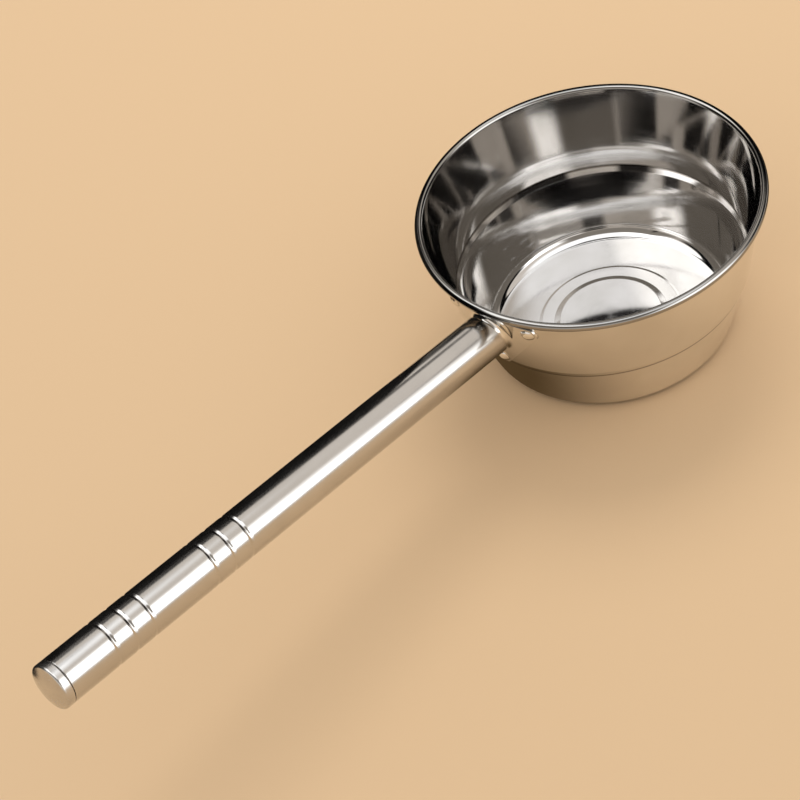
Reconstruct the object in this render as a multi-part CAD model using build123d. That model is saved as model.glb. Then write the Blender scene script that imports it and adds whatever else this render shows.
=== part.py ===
from build123d import *
import os
from math import asin, cos, radians, sin, tan

# Steel water dipper: a drawn bowl with a curled rim, and a tubular handle on a riveted bracket.
# Millimetres and degrees. +Z runs up the bowl's axis and the origin is the centre of the plane that the
# base stands on. The handle leaves along -X, rising a little.

# Bowl, with the wall's sizes taken at the middle of the sheet
rim_diameter = 190.0
bowl_height = 90.0
bowl_sheet = 0.8
bead_diameter = 4.5
bead_wrap_angle = 290.0
wall_taper_angle = 11.8
step_below_rim = 49.0
step_width = 1.7
step_height = 3.4
step_bend = 3.0
lower_lean = 12.15
base_bend = 9.0

# Base raised in two pressed steps towards its middle, measured inwards from the base's corner
panel_inset = 27.75
panel_rise = 0.4
disc_inset = 37.25
disc_rise = 1.0
press_slope = 1.6
press_bend = 1.5

# Handle tube
tube_diameter = 25.0
tube_wall = 0.7
handle_rise = 7.2
handle_reach = 309.3
tube_standoff = 3.8
groove_width = 2.8
groove_depth = 0.5
groove_bend = 1.2
groove_pitch = 11.8
grooves_per_group = 3
group_gap = 42.0
end_land = 29.0

# End cap
cap_sheet = 0.7
cap_band = 4.8
cap_crown = 2.0
cap_edge = 1.0
cap_joggle = 0.8
joggle_bend = 0.3
plug_length = 8.0
plug_clearance = 0.1

# Handle bracket
bracket_sheet = 1.0
neck_flare = 2.5
neck_margin = 0.3
spigot_length = 22.0
spigot_clearance = 0.1
corner_margin = 1.0
plate_top_clearance = 1.9
seat_gap = 0.05

# Rivets
head_diameter = 7.8
head_height = 1.8
tail_diameter = 6.6
tail_height = 1.1
shank_diameter = 4.0
shank_clearance = 0.05
upper_rivet_land = 8.4
upper_rivet_angle = 18.5
lower_rivet_land = 4.3

# Bowl profile: radii and heights at the middle of the sheet; the wall runs straight into the curl
rim_radius = rim_diameter / 2
bead_radius = bead_diameter / 2
curl_radius = bead_radius - bowl_sheet / 2
bead_centre = (rim_radius - bead_radius, bowl_height - bead_radius)
wall_taper = radians(wall_taper_angle)
wall_end = (
    bead_centre[0] - curl_radius * cos(wall_taper),
    bead_centre[1] + curl_radius * sin(wall_taper),
)
step_top = bowl_height - step_below_rim
step_radius = wall_end[0] - (wall_end[1] - step_top) * tan(wall_taper)
base_radius = step_radius - step_width - lower_lean
base_middle = bowl_sheet / 2
panel_radius = base_radius - panel_inset
disc_radius = base_radius - disc_inset

# Neck, tube and rivet sizes that follow from the ones above
tube_radius = tube_diameter / 2
tube_bore = tube_radius - tube_wall
neck_radius = tube_bore - spigot_clearance
neck_root = neck_radius + neck_flare
head_radius = head_diameter / 2
upper_reach = neck_root + upper_rivet_land + head_radius
lower_reach = neck_root + lower_rivet_land + head_radius
corner_radius = head_radius + corner_margin
plate_inside = bowl_sheet / 2 + seat_gap
plate_outside = plate_inside + bracket_sheet

# The neck leans up from the wall's normal, so its flare reaches furthest up the plate
neck_tilt = radians(handle_rise) + wall_taper
neck_flare_top = neck_radius / cos(neck_tilt) + neck_flare / tan((radians(90) - neck_tilt) / 2)
neck_flare_top += (plate_outside - bowl_sheet / 2) * tan(neck_tilt)
plate_radius = neck_flare_top * cos(wall_taper) + neck_margin
neck_height = bowl_height - bead_diameter - plate_top_clearance - plate_radius


def wall_radius(height, depth):
    """Radius at a height of the upper wall's cone, shifted outwards by depth from mid-sheet."""
    return step_radius + (height - step_top) * tan(wall_taper) + depth / cos(wall_taper)


def wall_layer(near, far):
    """Conical layer between two depths from the upper wall's mid-sheet, as tall as the bowl."""
    section = Polyline(
        (wall_radius(0, near), 0),
        (wall_radius(bowl_height, near), bowl_height),
        (wall_radius(bowl_height, far), bowl_height),
        (wall_radius(0, far), 0),
        close=True,
    )
    return revolve(Plane.XZ * make_face(section), Axis.Z)


def sheet_ring(path, thickness):
    """Sheet metal ring: a mid-sheet path of radius and height, thickened and turned about Z."""
    section = make_face(offset(path, thickness / 2).edges())
    half = Rectangle(rim_diameter, 4 * handle_reach, align=(Align.MIN, Align.CENTER))
    return revolve(Plane.XZ * (section & half), Axis.Z)


# Frames: the handle's axis leaves the wall at the neck, and each rivet stands square to the wall
neck_point = Vector(-wall_radius(neck_height, bowl_sheet / 2), 0, neck_height)
handle_direction = Vector(-cos(radians(handle_rise)), 0, sin(radians(handle_rise)))
handle_frame = Plane(origin=neck_point, x_dir=(0, 1, 0), z_dir=handle_direction)
wall_normal = Vector(-cos(wall_taper), 0, -sin(wall_taper))


# Sideways offset and height of each rivet: two beside the neck and a little above it, one below
upper_side = upper_reach * cos(radians(upper_rivet_angle))
upper_height = neck_height + upper_reach * sin(radians(upper_rivet_angle))
rivet_spots = {
    "rivet_left": (upper_side, upper_height),
    "rivet_right": (-upper_side, upper_height),
    "rivet_lower": (0, neck_height - lower_reach),
}


def rivet_frame(spot):
    """Plane on the bracket's outer face at a rivet, with Z pointing out of the bowl."""
    sideways, height = spot
    radius = wall_radius(height, plate_outside)
    turn = asin(sideways / radius)
    point = (-radius * cos(turn), radius * sin(turn), height)
    flat = cos(wall_taper)
    normal = (-flat * cos(turn), flat * sin(turn), -sin(wall_taper))
    return Plane(origin=point, x_dir=(0, 0, 1), z_dir=normal)


grip = plate_outside + bowl_sheet / 2
hole_radius = shank_diameter / 2 + shank_clearance


def rivet_hole(spot):
    """Cutter for one rivet's hole through the bracket's plate and the bowl's wall."""
    return rivet_frame(spot) * Cylinder(hole_radius, 4 * grip)


# Bowl
wall_path = FilletPolyline(
    (0, base_middle + panel_rise + disc_rise),
    (disc_radius - press_slope / 2, base_middle + panel_rise + disc_rise),
    (disc_radius + press_slope / 2, base_middle + panel_rise),
    (panel_radius - press_slope / 2, base_middle + panel_rise),
    (panel_radius + press_slope / 2, base_middle),
    (base_radius, base_middle),
    (step_radius - step_width, step_top - step_height),
    (step_radius, step_top),
    wall_end,
    radius=[press_bend] * 4 + [base_bend, step_bend, step_bend],
)
bead_path = CenterArc(bead_centre, curl_radius, 180 - wall_taper_angle, -bead_wrap_angle)
bowl = sheet_ring(Wire(wall_path.edges() + bead_path.edges()), bowl_sheet)
for spot in rivet_spots.values():
    bowl -= rivet_hole(spot)

# Handle tube: rolled grooves, and the bowl end cut parallel to the wall
groove_centres = []
for group in range(2):
    first = handle_reach - end_land - group * (group_gap + (grooves_per_group - 1) * groove_pitch)
    groove_centres += [first - count * groove_pitch for count in range(grooves_per_group)]
tube_middle = tube_radius - tube_wall / 2
tube_points = [(tube_middle, -tube_radius)]
for centre in sorted(groove_centres):
    tube_points += [
        (tube_middle, centre - groove_width / 2),
        (tube_middle - groove_depth, centre),
        (tube_middle, centre + groove_width / 2),
    ]
tube_points.append((tube_middle, handle_reach - tube_wall / 2))
tube_path = FilletPolyline(*tube_points, radius=groove_bend)
handle_tube = handle_frame * sheet_ring(Wire(tube_path.edges()), tube_wall)
mitre = Plane(origin=neck_point + wall_normal * tube_standoff, z_dir=wall_normal)
handle_tube = split(handle_tube, bisect_by=mitre, keep=Keep.TOP)

# End cap: crowned face, a band as wide as the tube, and a plug inside it
band_middle = tube_radius - cap_sheet / 2
plug_middle = tube_bore - plug_clearance - cap_sheet / 2
cap_face = handle_reach + cap_band
crown_path = TangentArc((0, cap_face + cap_crown), (band_middle, cap_face), tangent=(1, 0))
plug_path = FilletPolyline(
    (band_middle, cap_face),
    (band_middle, handle_reach + cap_joggle),
    (plug_middle, handle_reach),
    (plug_middle, handle_reach - plug_length),
    radius=joggle_bend,
)
cap_path = Wire(crown_path.edges() + plug_path.edges())
cap_path = cap_path.fillet_2d(cap_edge, cap_path.vertices().sort_by(Axis.Y)[-2:-1])
end_cap = handle_frame * sheet_ring(cap_path, cap_sheet)

# Handle bracket: a plate that lies on the wall, with a flared neck drawn out of it
outline = Pos(0, neck_height) * Circle(plate_radius)
for spot in rivet_spots.values():
    outline += Pos(*spot) * Circle(corner_radius)
outline = Plane.YZ * make_hull(outline.edges())
plate = extrude(outline, -rim_diameter) & wall_layer(plate_inside, plate_outside)
spigot_end = tube_standoff + spigot_length
neck_blank = Cylinder(neck_radius, spigot_end + tube_radius, align=(Align.CENTER, Align.CENTER, Align.MIN))
neck = handle_frame * Pos(0, 0, -tube_radius) * neck_blank
neck -= wall_layer(-tube_diameter, plate_inside)
handle_bracket = plate + neck
handle_bracket = fillet(new_edges(plate, neck, combined=handle_bracket), neck_flare)
bore = handle_frame * Cylinder(neck_radius - bracket_sheet, 4 * spigot_end)
drawn = handle_bracket - bore
bore_edges = new_edges(handle_bracket, bore, combined=drawn)
handle_bracket = fillet(bore_edges.sort_by_distance(neck_point)[0], neck_flare + bracket_sheet)
for spot in rivet_spots.values():
    handle_bracket -= rivet_hole(spot)

# Rivets: domed head on the plate and a flatter tail inside the bowl, both seated on the curved sheet
gripped = wall_layer(-bowl_sheet / 2 - seat_gap, plate_outside + seat_gap)


def dome(radius, height):
    """Round button of a given radius whose spherical top rises to a height above the origin."""
    sphere_radius = (radius**2 + height**2) / (2 * height)
    return Cylinder(radius, 2 * height) & Pos(0, 0, height - sphere_radius) * Sphere(sphere_radius)


def rivet(spot):
    """One set rivet: shank through plate and wall, head outside and tail inside."""
    frame = rivet_frame(spot)
    head = frame * dome(head_radius, head_height) - gripped
    tail = frame * Pos(0, 0, -grip) * Rot(180, 0, 0) * dome(tail_diameter / 2, tail_height) - gripped
    shank_length = grip + (head_height + tail_height) / 2
    shank_middle = (head_height - tail_height) / 4 - grip / 2
    shank = frame * Pos(0, 0, shank_middle) * Cylinder(shank_diameter / 2, shank_length)
    return head + shank + tail


nodes = {
    "bowl": bowl,
    "handle_bracket": handle_bracket,
    "handle_tube": handle_tube,
    "end_cap": end_cap,
}
for name, spot in rivet_spots.items():
    nodes[name] = rivet(spot)

os.makedirs("parts", exist_ok=True)
for name, shape in nodes.items():
    export_step(shape, f"parts/{name}.step")
    box = shape.bounding_box()
    print(name, len(shape.solids()), round(shape.volume, 1), shape.is_valid, box.min, box.max)
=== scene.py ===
import math

import bpy
import numpy as np
from mathutils import Euler, Matrix, Vector


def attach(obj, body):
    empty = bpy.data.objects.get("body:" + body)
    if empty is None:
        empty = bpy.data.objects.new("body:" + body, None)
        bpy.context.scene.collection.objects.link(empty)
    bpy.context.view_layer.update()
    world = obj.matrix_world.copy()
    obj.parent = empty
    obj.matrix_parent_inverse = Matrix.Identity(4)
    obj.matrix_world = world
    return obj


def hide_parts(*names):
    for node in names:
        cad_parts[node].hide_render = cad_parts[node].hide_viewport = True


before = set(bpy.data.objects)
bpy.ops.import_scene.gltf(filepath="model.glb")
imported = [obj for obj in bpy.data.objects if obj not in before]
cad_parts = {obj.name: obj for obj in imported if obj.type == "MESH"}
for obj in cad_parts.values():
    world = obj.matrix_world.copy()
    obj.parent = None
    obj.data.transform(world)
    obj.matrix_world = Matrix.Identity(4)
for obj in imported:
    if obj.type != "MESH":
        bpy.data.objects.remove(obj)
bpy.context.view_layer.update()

MM = 0.001

# Bowl, in mm and degrees, with the wall's sizes at the middle of the sheet
BOWL_SHEET = 0.8
RIM_RADIUS = 95.0
BOWL_HEIGHT = 90.0
BEAD_RADIUS = 2.25
BEAD_WRAP = 290.0
WALL_TAPER = 11.8
STEP_TOP = 41.0
STEP_WIDTH = 1.7
STEP_HEIGHT = 3.4
STEP_BEND = 3.0
LOWER_LEAN = 12.15
BASE_BEND = 9.0
# Height of the hollow under the step, outside
STEP_HOLLOW = 37.4

# Base raised in two pressed steps towards its middle, measured inwards from the base's corner
PANEL_INSET = 27.75
PANEL_RISE = 0.4
PANEL_SLOPE = 1.6
DISC_INSET = 37.25
DISC_RISE = 1.0
DISC_SLOPE = 3.4
PRESS_BEND = 1.5
PRESS_BENDS = 4

# Points along each bend, along the curl and around the bowl
ARC_STEPS = 13
CURL_STEPS = 49
TURN_STEPS = 350

# Handle: its rise in degrees, and the point where its axis leaves the wall, in mm
HANDLE_RISE = 7.2
NECK_X = -87.018
NECK_HEIGHT = 67.403

# Steel colours, clean and under a smudge, and painted shade for creases and for seams near other surfaces
# Outside and plate colour: a lighter copy of the same steel, painted light that brightens what the outside
# mirrors
MIRROR_STEEL_PAINTED_LIGHT = ("#EAE8E4", "#E4E1DC")
BOWL_STEEL = ("#D4D2D0", "#CECCC9")
TUBE_STEEL = ("#CFCDCA", "#C8C6C3")
# Rim colour darker than the wall's: painted dark reflection on the curl
RIM_STEEL_PAINTED_DARK = ("#A3A19E", "#9B9996")
PAINTED_CREASE_SHADE = "#6E675E"
PAINTED_SEAM_SHADE = "#2E2A26"
SEAM_SHADE_REACH = 2.5

# Camera, fitted to the rim, the base and the handle: place in mm, turns about X, Y and Z in degrees
CAMERA_PLACE = (-721.186, -739.662, 1021.703)
CAMERA_TURN = (43.52625, 10.92762, -48.57174)
CAMERA_LENS = 117.0
SENSOR_WIDTH = 36.0

# Sockets of a colour mix: its share, its two colours and its result
MIX_SHARE = 0
MIX_FIRST = 6
MIX_SECOND = 7
MIX_RESULT = 2


def linear(hex_colour):
    """sRGB hex to linear RGBA: each channel through the inverse sRGB curve."""
    srgb = np.array([int(hex_colour[i : i + 2], 16) for i in (1, 3, 5)]) / 255
    straight = np.where(srgb <= 0.04045, srgb / 12.92, ((srgb + 0.055) / 1.055) ** 2.4)
    return (*straight.tolist(), 1.0)


def add(tree, kind, values=None, links=None, **settings):
    """Adds one node: settings go on the node, values on its sockets, links come from other sockets."""
    made = tree.nodes.new(kind)
    for key, value in settings.items():
        setattr(made, key, value)
    for key, value in (values or {}).items():
        made.inputs[key].default_value = value
    for key, source in (links or {}).items():
        tree.links.new(source, made.inputs[key])
    return made


def new_material(name):
    """Empty node material, its tree and its output node."""
    material = bpy.data.materials.new(name)
    material.use_nodes = True
    material.node_tree.nodes.clear()
    return material, material.node_tree, add(material.node_tree, "ShaderNodeOutputMaterial")


def polished_steel(
    name, colours, roughness, lines, line_mm, depth_mm, smudge_mm, spun=0.0, crease_shade_mm=None, seam_shade_mm=None
):
    """Stainless steel with fine polishing lines and faint smudges.

    Lines: noise of about line_mm, drawn out along the direction of polishing, tilts the surface a little
    and moves the roughness between its two values. Smudges: slow noise of about smudge_mm that moves the
    colour between its two values and the roughness a little more. Spun steel also gets anisotropic gloss,
    wide across the lines. A crease is painted shade: a thin dark ring at one height, in a corner. A seam is
    painted shade too: it darkens what lies within seam_shade_mm of another surface, where the surroundings
    close in.
    """
    material, tree, output = new_material(name)
    place = add(tree, "ShaderNodeTexCoord").outputs["Object"]
    if lines == "rings":
        # Noise read at (radius, 0, height) is the same all around the axis
        axes = add(tree, "ShaderNodeSeparateXYZ", links={"Vector": place}).outputs
        flat = add(tree, "ShaderNodeCombineXYZ", links={"X": axes["X"], "Y": axes["Y"]})
        reach = add(tree, "ShaderNodeVectorMath", links={0: flat.outputs["Vector"]}, operation="LENGTH")
        links = {"X": reach.outputs["Value"], "Z": axes["Z"]}
        along = add(tree, "ShaderNodeCombineXYZ", links=links).outputs["Vector"]
    else:
        # Turned into line with the handle and drawn out to fifty times its width
        turn = (0.0, math.radians(-HANDLE_RISE), 0.0)
        values = {"Rotation": turn, "Scale": (0.02, 1.0, 1.0)}
        along = add(tree, "ShaderNodeMapping", values, {"Vector": place}).outputs["Vector"]
    values = {"Scale": 1 / (line_mm * MM), "Detail": 3.0, "Roughness": 0.6}
    line = add(tree, "ShaderNodeTexNoise", values, {"Vector": along}).outputs["Fac"]
    values = {"Scale": 1 / (smudge_mm * MM), "Detail": 2.0, "Distortion": 0.4}
    smudge = add(tree, "ShaderNodeTexNoise", values, {"Vector": place}).outputs["Fac"]
    both = add(tree, "ShaderNodeMath", links={0: line, 1: smudge}, operation="ADD")
    values = {"From Min": 0.7, "From Max": 1.3, "To Min": roughness[0], "To Max": roughness[1]}
    gloss = add(tree, "ShaderNodeMapRange", values, {"Value": both.outputs["Value"]})
    share = add(tree, "ShaderNodeMapRange", {"From Min": 0.35, "From Max": 0.65}, {"Value": smudge})
    values = {MIX_FIRST: linear(colours[0]), MIX_SECOND: linear(colours[1])}
    tone = add(tree, "ShaderNodeMix", values, {MIX_SHARE: share.outputs["Result"]}, data_type="RGBA")
    # Painted shade, mixed over the steel's colour: dark crease rings and dark seams
    painted_shades = []
    if crease_shade_mm:
        # Painted crease shade: full within 0.25 mm of the height, gone at 1 mm
        off = add(tree, "ShaderNodeMath", {1: crease_shade_mm * MM}, {0: axes["Z"]}, operation="SUBTRACT")
        gap = add(tree, "ShaderNodeMath", links={0: off.outputs["Value"]}, operation="ABSOLUTE")
        values = {"From Min": 0.25 * MM, "From Max": 1.0 * MM, "To Min": 0.8, "To Max": 0.0}
        painted_shades.append((PAINTED_CREASE_SHADE, add(tree, "ShaderNodeMapRange", values, {"Value": gap.outputs["Value"]})))
    if seam_shade_mm:
        # Painted seam shade from ambient occlusion: full where less than a third of the surroundings is
        # open, gone where three quarters are
        sky = add(tree, "ShaderNodeAmbientOcclusion", {"Distance": seam_shade_mm * MM})
        values = {"From Min": 0.35, "From Max": 0.75, "To Min": 0.9, "To Max": 0.0}
        painted_shades.append((PAINTED_SEAM_SHADE, add(tree, "ShaderNodeMapRange", values, {"Value": sky.outputs["AO"]})))
    for colour, shade_share in painted_shades:
        links = {MIX_SHARE: shade_share.outputs["Result"], MIX_FIRST: tone.outputs[MIX_RESULT]}
        tone = add(tree, "ShaderNodeMix", {MIX_SECOND: linear(colour)}, links, data_type="RGBA")
    values = {"Strength": 1.0, "Distance": depth_mm * MM}
    relief = add(tree, "ShaderNodeBump", values, {"Height": line})
    values = {"Metallic": 1.0, "Anisotropic": spun, "Anisotropic Rotation": 0.25}
    links = {
        "Base Color": tone.outputs[MIX_RESULT],
        "Roughness": gloss.outputs["Result"],
        "Normal": relief.outputs["Normal"],
    }
    if spun:
        around = add(tree, "ShaderNodeTangent", direction_type="RADIAL", axis="Z")
        links["Tangent"] = around.outputs["Tangent"]
    shader = add(tree, "ShaderNodeBsdfPrincipled", values, links)
    tree.links.new(shader.outputs["BSDF"], output.inputs["Surface"])
    return material


# Real polishing lines are finer than 0.1 mm: each finish draws them as coarse as it needs for them to show

# Drawn stainless steel, polished inside with a mop as the bowl turns: rings of fine lines smear what it
# mirrors up and down the wall. A painted shade ring darkens the crease at the step
inside_steel = polished_steel(
    "spun_stainless_inside",
    BOWL_STEEL,
    roughness=(0.04, 0.08),
    lines="rings",
    line_mm=3.0,
    depth_mm=0.012,
    smudge_mm=28,
    spun=0.5,
    crease_shade_mm=STEP_TOP,
)
# Flat of the base, brushed in circles: the gloss spreads across the rings and fans out from the middle
base_steel = polished_steel(
    "brushed_stainless_base",
    BOWL_STEEL,
    roughness=(0.06, 0.11),
    lines="rings",
    line_mm=0.9,
    depth_mm=0.002,
    smudge_mm=20,
    spun=0.8,
)
# The same sheet outside, buffed to a near mirror after drawing. Its colour is lighter than the inside's,
# which is painted light; a painted shade line darkens the hollow under the step, and painted seam shade
# darkens it near the handle's plate
outside_steel = polished_steel(
    "buffed_stainless_outside",
    MIRROR_STEEL_PAINTED_LIGHT,
    roughness=(0.04, 0.09),
    lines="rings",
    line_mm=1.2,
    depth_mm=0.0006,
    smudge_mm=35,
    crease_shade_mm=STEP_HOLLOW,
    seam_shade_mm=SEAM_SHADE_REACH,
)
# Curled edge, rolled: its colour is darker than the wall's, a painted dark reflection that draws the
# outline
rim_steel_painted_dark = polished_steel(
    "rolled_stainless_rim_painted_dark",
    RIM_STEEL_PAINTED_DARK,
    roughness=(0.05, 0.1),
    lines="rings",
    line_mm=1.2,
    depth_mm=0.0006,
    smudge_mm=35,
)
# Drawn stainless tube, belt polished along its length: a soft mirror with lengthwise lines
tube_steel = polished_steel(
    "belt_polished_stainless",
    TUBE_STEEL,
    roughness=(0.12, 0.19),
    lines="lengthwise",
    line_mm=0.8,
    depth_mm=0.002,
    smudge_mm=30,
)
# Pressed stainless plate and rivet heads, tumbled bright: a little less glossy than the bowl, with painted
# shade darkening them next to other surfaces
plate_steel = polished_steel(
    "pressed_stainless_plate",
    MIRROR_STEEL_PAINTED_LIGHT,
    roughness=(0.06, 0.12),
    lines="lengthwise",
    line_mm=1.0,
    depth_mm=0.001,
    smudge_mm=12,
    seam_shade_mm=SEAM_SHADE_REACH,
)
# Stamped stainless cap, satin from the die: a blurred, even sheen
cap_steel = polished_steel(
    "stamped_stainless_cap",
    TUBE_STEEL,
    roughness=(0.18, 0.28),
    lines="lengthwise",
    line_mm=0.8,
    depth_mm=0.002,
    smudge_mm=9,
)

finishes = {"handle_tube": tube_steel, "end_cap": cap_steel}
for name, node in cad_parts.items():
    for slot in node.material_slots:
        slot.material = finishes.get(name, plate_steel)


def bent_path(corners, bends):
    """Straight runs joined by arcs, as points and left-hand normals.

    At each corner the arc's centre lies one bend radius to the side that the path turns to, set back along
    the run by the radius times the tangent of half the turn.
    """
    points = [np.array(corners[:1])]
    normals = []
    for before, corner, after, bend in zip(corners, corners[1:], corners[2:], bends):
        enter = (corner - before) / np.hypot(*(corner - before))
        leave = (after - corner) / np.hypot(*(after - corner))
        turn = math.atan2(enter[0] * leave[1] - enter[1] * leave[0], enter @ leave)
        inward = math.copysign(bend, turn)
        set_back = bend * math.tan(abs(turn) / 2)
        centre = corner - enter * set_back + inward * np.array([-enter[1], enter[0]])
        course = math.atan2(enter[1], enter[0]) + np.linspace(0, turn, ARC_STEPS)
        left = np.stack([-np.sin(course), np.cos(course)], -1)
        points.append(centre - inward * left)
        normals.append(left)
    return np.concatenate(points), np.concatenate([normals[0][:1], *normals])


def bowl_section():
    """Closed section of the sheet, its normals, and the rows where the wall and the curl begin.

    It runs from the middle of the base out along the inside, round the curl, and back along the outside:
    the mid-sheet path moved half the sheet to either side. The curl is an arc about the bead's centre.
    """
    taper = math.radians(WALL_TAPER)
    middle = BOWL_SHEET / 2
    curl_radius = BEAD_RADIUS - middle
    bead = np.array([RIM_RADIUS - BEAD_RADIUS, BOWL_HEIGHT - BEAD_RADIUS])
    wall_end = bead + curl_radius * np.array([-math.cos(taper), math.sin(taper)])
    step_radius = wall_end[0] - (wall_end[1] - STEP_TOP) * math.tan(taper)
    base_radius = step_radius - STEP_WIDTH - LOWER_LEAN
    panel_radius = base_radius - PANEL_INSET
    disc_radius = base_radius - DISC_INSET
    panel_height = middle + PANEL_RISE
    disc_height = panel_height + DISC_RISE
    corners = np.array(
        [
            (0, disc_height),
            (disc_radius - DISC_SLOPE / 2, disc_height),
            (disc_radius + DISC_SLOPE / 2, panel_height),
            (panel_radius - PANEL_SLOPE / 2, panel_height),
            (panel_radius + PANEL_SLOPE / 2, middle),
            (base_radius, middle),
            (step_radius - STEP_WIDTH, STEP_TOP - STEP_HEIGHT),
            (step_radius, STEP_TOP),
            wall_end,
        ]
    )
    points, normals = bent_path(corners, [PRESS_BEND] * PRESS_BENDS + [BASE_BEND, STEP_BEND, STEP_BEND])
    wall_row = 1 + PRESS_BENDS * ARC_STEPS
    curl_row = len(points)
    angle = math.pi - taper - np.radians(np.linspace(0, BEAD_WRAP, CURL_STEPS))
    out = np.stack([np.cos(angle), np.sin(angle)], -1)
    points = np.concatenate([points, bead + curl_radius * out])
    normals = np.concatenate([normals, out])
    inner = points + normals * middle
    outer = points - normals * middle
    section = np.concatenate([inner, outer[::-1]])
    return section, np.concatenate([normals, -normals[::-1]]), wall_row, curl_row


def turned_shell(name, section, normals, starts, materials):
    """Closed section turned about Z: x = r cos t, y = r sin t, with one point at each pole.

    Each material runs from its own start row to the next one's.
    """
    turn = np.linspace(0, 2 * np.pi, TURN_STEPS, endpoint=False)
    spin = np.stack([np.cos(turn), np.sin(turn)], -1)

    def sweep(pairs):
        """Every row between the poles carried around the axis, then the two poles."""
        flat = pairs[1:-1, None, :1] * spin
        height = np.broadcast_to(pairs[1:-1, None, 1:], (*flat.shape[:2], 1))
        ends = np.array([[0, 0, pairs[0, 1]], [0, 0, pairs[-1, 1]]])
        return np.concatenate([np.concatenate([flat, height], -1).reshape(-1, 3), ends])

    rows = len(section) - 2
    start = np.arange(rows - 1)[:, None] * TURN_STEPS
    here = np.arange(TURN_STEPS)
    beside = (here + 1) % TURN_STEPS
    quads = np.stack(
        [start + here, start + here + TURN_STEPS, start + beside + TURN_STEPS, start + beside], -1
    )
    pole = np.full(TURN_STEPS, rows * TURN_STEPS)
    last = (rows - 1) * TURN_STEPS
    faces = quads.reshape(-1, 4).tolist()
    faces += np.stack([pole, here, beside], -1).tolist()
    faces += np.stack([pole + 1, last + beside, last + here], -1).tolist()
    mesh = bpy.data.meshes.new(name)
    mesh.from_pydata((sweep(section) * MM).tolist(), [], faces)
    mesh.polygons.foreach_set("use_smooth", np.ones(len(faces), bool))
    finish = np.searchsorted(starts, np.arange(rows + 1), side="right").astype(np.int32) - 1
    between_poles = np.repeat(finish[1:-1], TURN_STEPS)
    at_poles = np.repeat(finish[[0, -1]], TURN_STEPS)
    mesh.polygons.foreach_set("material_index", np.concatenate([between_poles, at_poles]))
    for material in materials:
        mesh.materials.append(material)
    mesh.normals_split_custom_set_from_vertices(sweep(normals).tolist())
    piece = bpy.data.objects.new(name, mesh)
    bpy.context.scene.collection.objects.link(piece)
    return piece


section, section_normals, wall_row, curl_row = bowl_section()
bowl_shell = turned_shell(
    "bowl_shell",
    section,
    section_normals,
    (0, wall_row, curl_row, curl_row + CURL_STEPS),
    (base_steel, inside_steel, rim_steel_painted_dark, outside_steel),
)
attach(bowl_shell, "root")
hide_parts("bowl")

# Camera
camera = bpy.data.objects.new("camera", bpy.data.cameras.new("camera"))
camera.data.lens = CAMERA_LENS
camera.data.sensor_width = SENSOR_WIDTH
camera.data.clip_start = 0.05
camera.data.clip_end = 50.0
camera_turn = Euler([math.radians(angle) for angle in CAMERA_TURN])
camera.matrix_world = Matrix.LocRotScale(Vector(CAMERA_PLACE) * MM, camera_turn, None)
bpy.context.scene.collection.objects.link(camera)
bpy.context.scene.camera = camera
bpy.context.scene.view_settings.view_transform = "Standard"

# Stage, in m and degrees. Light on the floor: an even surround, and a soft lamp high on the far right
FLOOR_PAPER = "#DCBC96"
FLOOR_REACH = (0.0, 0.5, 1.0, 8.0)
FLOOR_HEIGHT = -0.0002
LIGHT_COLOUR = "#FFFDF9"
SURROUND_STRENGTH = 0.88
KEY_SIZE = 1.3
KEY_POWER = 13.0
KEY_AZIMUTH = 35.0
KEY_REACH = 1.15
KEY_HEIGHT = 1.75
KEY_AIM = Vector((-0.12, 0.0, 0.0))

# Cards that show only in reflections. Edge card: how far it stands from the handle's axis, where it starts,
# its length, its top above the axis at either end, and its foot below the axis at the bowl and further on
BLACK_CARD = "#0B0A0A"
EDGE_SIDE = 0.05
EDGE_START = -0.100
EDGE_LENGTH = 0.330
EDGE_TOP = (0.135, 0.080)
EDGE_FOOT = (-0.012, 0.035)
EDGE_FOOT_RUN = 0.15
# Rim collar, far card and foot shadow card: radii or heights, and azimuths
COLLAR_RADIUS = 0.115
COLLAR_HEIGHT = (0.093, 0.145)
COLLAR_AZIMUTH = (-50, 120)
FAR_REACH = (0.15, 2.5)
FAR_AZIMUTH = (-45, 150)
FAR_HEIGHT = 0.0002
FOOT_REACH = (0.062, 0.118)
FOOT_AZIMUTH = (130, 240)
FOOT_HEIGHT = 0.0003

# Points across and along a panel, and the fewer ones of a card
PANEL_ROWS = 33
PANEL_COLUMNS = 65
CARD_ROWS = 17
CARD_COLUMNS = 33


def put_mesh(name, points, material):
    """Grid of points (rows by columns by 3) as one mesh of quads, with UV from 0 to 1 along both."""
    rows, columns = points.shape[:2]
    i, j = np.meshgrid(np.arange(rows - 1), np.arange(columns - 1), indexing="ij")
    corner = i * columns + j
    quads = np.stack([corner, corner + 1, corner + columns + 1, corner + columns], -1).reshape(-1, 4)
    mesh = bpy.data.meshes.new(name)
    mesh.from_pydata(points.reshape(-1, 3).tolist(), [], quads.tolist())
    grid = np.stack(np.meshgrid(np.linspace(0, 1, rows), np.linspace(0, 1, columns), indexing="ij"), -1)
    uv = grid.reshape(-1, 2)[:, ::-1][quads.reshape(-1)]
    mesh.uv_layers.new(name="UVMap").data.foreach_set("uv", uv.ravel().astype(np.float32))
    mesh.materials.append(material)
    piece = bpy.data.objects.new(name, mesh)
    bpy.context.scene.collection.objects.link(piece)
    return piece


def ring_points(reach, azimuth, height):
    """Grid about the Z axis: x = r cos a, y = r sin a, with a radius and a height for each row."""
    a = np.radians(azimuth)
    r, z = np.broadcast_arrays(np.asarray(reach, float), np.asarray(height, float))
    return np.stack([np.outer(r, np.cos(a)), np.outer(r, np.sin(a)), np.outer(z, np.ones_like(a))], -1)


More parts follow.
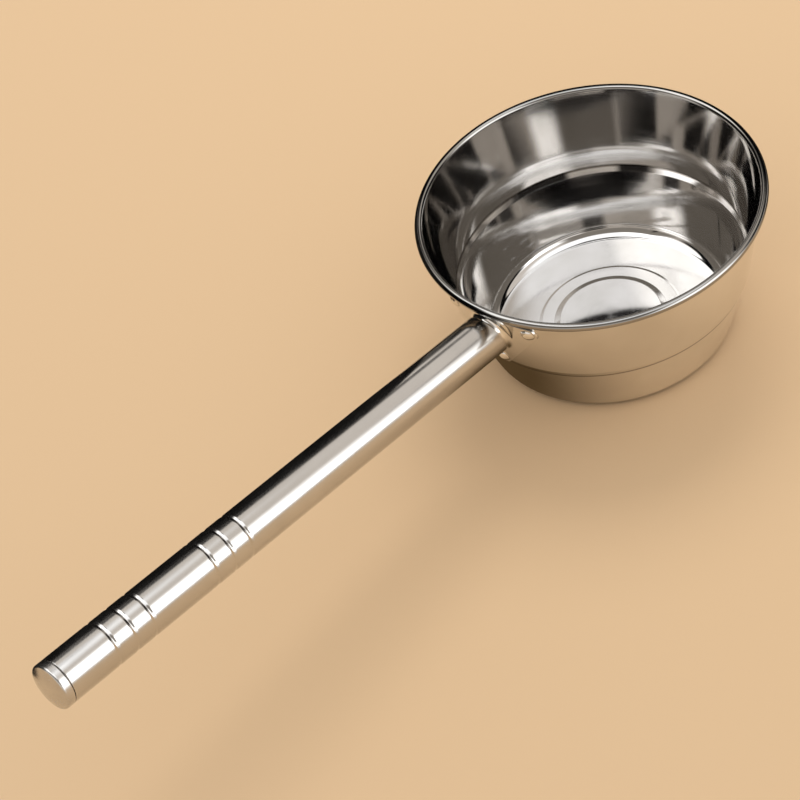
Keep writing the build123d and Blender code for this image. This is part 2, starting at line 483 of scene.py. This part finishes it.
def panel_material(name, colour, radiance, feather):
    """Light panel or dark card: one plain emission that fades to clear over a share of each edge's width.

    Each faded edge mixes what is there so far with clear, by a smooth step across the share.
    """
    material, tree, output = new_material(name)
    surface = add(tree, "ShaderNodeEmission", {"Color": linear(colour), "Strength": radiance}).outputs[0]
    clear = add(tree, "ShaderNodeBsdfTransparent").outputs["BSDF"]
    place = add(tree, "ShaderNodeUVMap", uv_map="UVMap").outputs["UV"]
    axes = add(tree, "ShaderNodeSeparateXYZ", links={"Vector": place}).outputs
    for axis, (low, high) in zip("XY", feather):
        for share, edge, inner in ((low, 0.0, low), (high, 1.0, 1.0 - high)):
            if share:
                values = {"From Min": edge, "From Max": inner}
                links = {"Value": axes[axis]}
                fade = add(tree, "ShaderNodeMapRange", values, links, interpolation_type="SMOOTHSTEP")
                links = {"Fac": fade.outputs["Result"], 1: clear, 2: surface}
                surface = add(tree, "ShaderNodeMixShader", links=links).outputs["Shader"]
    tree.links.new(surface, output.inputs["Surface"])
    return material


def stand(piece):
    """Stage piece that shows only in reflections."""
    piece.visible_camera = False
    piece.visible_diffuse = False
    piece.visible_shadow = False


# Floor: plain pale paper, matt
floor_material, tree, output = new_material("floor_paper")
values = {"Base Color": linear(FLOOR_PAPER), "Roughness": 0.9, "Specular IOR Level": 0.1}
shader = add(tree, "ShaderNodeBsdfPrincipled", values)
tree.links.new(shader.outputs["BSDF"], output.inputs["Surface"])
floor_points = ring_points(FLOOR_REACH, np.linspace(0, 360, PANEL_COLUMNS), FLOOR_HEIGHT)
put_mesh("floor", floor_points, floor_material)

# Surround and lamp
world = bpy.data.worlds.new("studio")
world.use_nodes = True
world.node_tree.nodes["Background"].inputs["Color"].default_value = linear(LIGHT_COLOUR)
world.node_tree.nodes["Background"].inputs["Strength"].default_value = SURROUND_STRENGTH
bpy.context.scene.world = world
key_light = bpy.data.lights.new("soft_key", "AREA")
key_light.shape = "DISK"
key_light.size = KEY_SIZE
key_light.energy = KEY_POWER
key_light.color = linear(LIGHT_COLOUR)[:3]
key_lamp = bpy.data.objects.new("soft_key", key_light)
key_turn = math.radians(KEY_AZIMUTH)
key_lamp.location = (KEY_REACH * math.cos(key_turn), KEY_REACH * math.sin(key_turn), KEY_HEIGHT)
key_lamp.rotation_euler = (KEY_AIM - key_lamp.location).to_track_quat("-Z", "Y").to_euler()
key_lamp.visible_glossy = False
bpy.context.scene.collection.objects.link(key_lamp)

# What the steel mirrors, seen only in reflections: an even room under a lit ceiling, a window on the near
# right and a skylight on the left, with darker sides between them. Each one is a patch of a sphere about
# the origin: azimuth, elevation, distance, colour, radiance, and the share of each edge that fades out,
# at the ends and then below and above
surroundings = {
    "room": ((-180, 180), (-4, 90), 5.0, "#FFF6EC", 0.85, ((0, 0), (0, 0))),
    "ceiling": ((-180, 180), (58, 90), 4.8, "#FCFDFF", 1.75, ((0, 0), (0.3, 0))),
    "skylight": ((54, 205), (42, 89), 4.6, "#FFFFFF", 2.5, ((0.15, 0.2), (0.3, 0.3))),
    "window": ((-122, -40), (5, 51), 4.4, "#FFFFFF", 3.0, ((0.3, 0.3), (0.1, 0.2))),
    "high_shade": ((2, 94), (64, 86), 4.2, "#FFFAF4", 0.14, ((0.3, 0.25), (0.25, 0.3))),
    "middle_shade": ((22, 72), (37, 51), 4.1, "#FFFAF4", 0.08, ((0.3, 0.3), (0.25, 0.3))),
    "far_shade": ((-14, 78), (-8, 32), 4.0, "#FFF6EA", 0.1, ((0.2, 0.15), (0, 0.2))),
    "right_shade": ((-50, 8), (10, 43), 3.9, "#FFF6EA", 0.02, ((0.3, 0.2), (0.2, 0.15))),
    "left_shade": ((62, 152), (-8, 46), 3.8, "#FFF6EA", 0.02, ((0.12, 0.2), (0, 0.12))),
    "near_shade": ((-220, -85), (25, 66), 3.6, "#FFF4E6", 0.3, ((0.12, 0.2), (0.1, 0.12))),
}
for name, (azimuth, elevation, distance, colour, radiance, feather) in surroundings.items():
    rise = np.radians(np.linspace(*elevation, PANEL_ROWS))
    turn = np.linspace(*azimuth, PANEL_COLUMNS)
    points = ring_points(distance * np.cos(rise), turn, distance * np.sin(rise))
    stand(put_mesh(name, points, panel_material(name, colour, radiance, feather)))

# Black card along the far side of the tube, as a studio sets one to draw a shiny tube's edge: its top
# comes down towards the free end, and its foot rises at the bowl, so that the wall doesn't mirror it
card = panel_material("edge_card", BLACK_CARD, 1.0, ((0.02, 0.02), (0, 0.4)))
along, rise = np.meshgrid(np.linspace(0, 1, CARD_COLUMNS), np.linspace(0, 1, CARD_ROWS))
card_x = EDGE_START - EDGE_LENGTH * along
axis_height = NECK_HEIGHT * MM + (NECK_X * MM - card_x) * math.tan(math.radians(HANDLE_RISE))
card_top = np.interp(along, (0, 1), EDGE_TOP)
card_foot = np.interp(along, (0, EDGE_FOOT_RUN), EDGE_FOOT)
card_z = axis_height - card_foot + rise * (card_top + card_foot)
card_points = np.stack([card_x, np.full_like(card_x, EDGE_SIDE), card_z], -1)
stand(put_mesh("edge_card", card_points, card))

# Black collar just outside the far half of the rim, and a dark card on the floor beyond it: they draw the
# rim's outline in black
collar = panel_material("rim_collar", BLACK_CARD, 1.0, ((0.1, 0.1), (0, 0.15)))
turn = np.linspace(*COLLAR_AZIMUTH, PANEL_COLUMNS)
heights = np.linspace(*COLLAR_HEIGHT, CARD_ROWS)
stand(put_mesh("rim_collar", ring_points(COLLAR_RADIUS, turn, heights), collar))
far_card = panel_material("far_card", "#17140F", 1.0, ((0.12, 0.12), (0.05, 0)))
turn = np.linspace(*FAR_AZIMUTH, PANEL_COLUMNS)
stand(put_mesh("far_card", ring_points(np.linspace(*FAR_REACH, PANEL_ROWS), turn, FAR_HEIGHT), far_card))

# Painted shadow: a dark card on the floor at the bowl's foot, under the handle, standing for the bowl's and
# handle's shadow there; it shades what the lower wall mirrors
foot = panel_material("foot_shadow_card", "#F0BE80", 0.1, ((0.2, 0.6), (0, 0.7)))
turn = np.linspace(*FOOT_AZIMUTH, PANEL_COLUMNS)
stand(put_mesh("foot_shadow_card", ring_points(np.linspace(*FOOT_REACH, CARD_ROWS), turn, FOOT_HEIGHT), foot))
